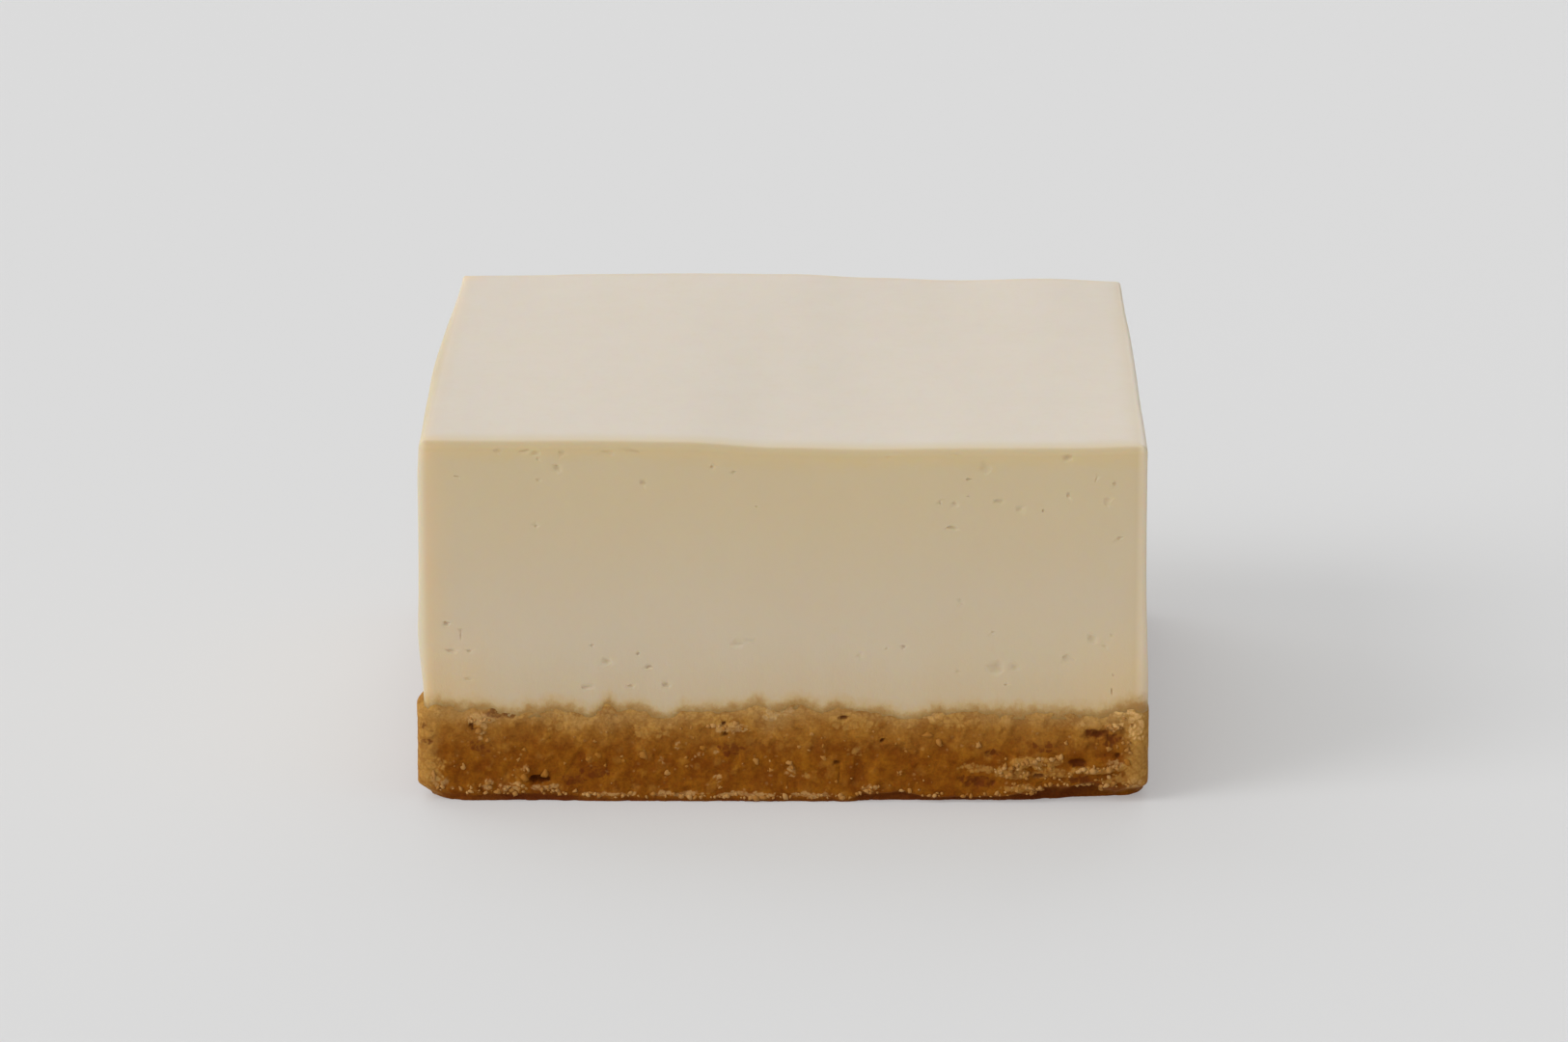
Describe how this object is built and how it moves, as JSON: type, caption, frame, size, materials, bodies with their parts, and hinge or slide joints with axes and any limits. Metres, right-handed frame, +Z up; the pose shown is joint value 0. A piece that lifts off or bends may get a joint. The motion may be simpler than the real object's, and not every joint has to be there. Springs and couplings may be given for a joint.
{
  "type": "cheesecake slice",
  "caption": "Square slice of plain baked cheesecake: a smooth cream filling on a pressed biscuit crumb base.",
  "frame": {"origin": "on the table, under the middle of the slice", "axes": "+Z up, -Y out of the front cut face, +X to the right as seen from the front"},
  "size_m": [0.0706, 0.0706, 0.0352],
  "materials": {
    "biscuit_crumb": "buttery baked biscuit crumb, rough, golden to dark amber with pale grains",
    "cheese": "smooth moist baked cream cheese, satin, slightly translucent"
  },
  "bodies": {
    "root": {"crumb_base": "biscuit_crumb", "cheese_filling": "cheese"}
  },
  "joints": []
}
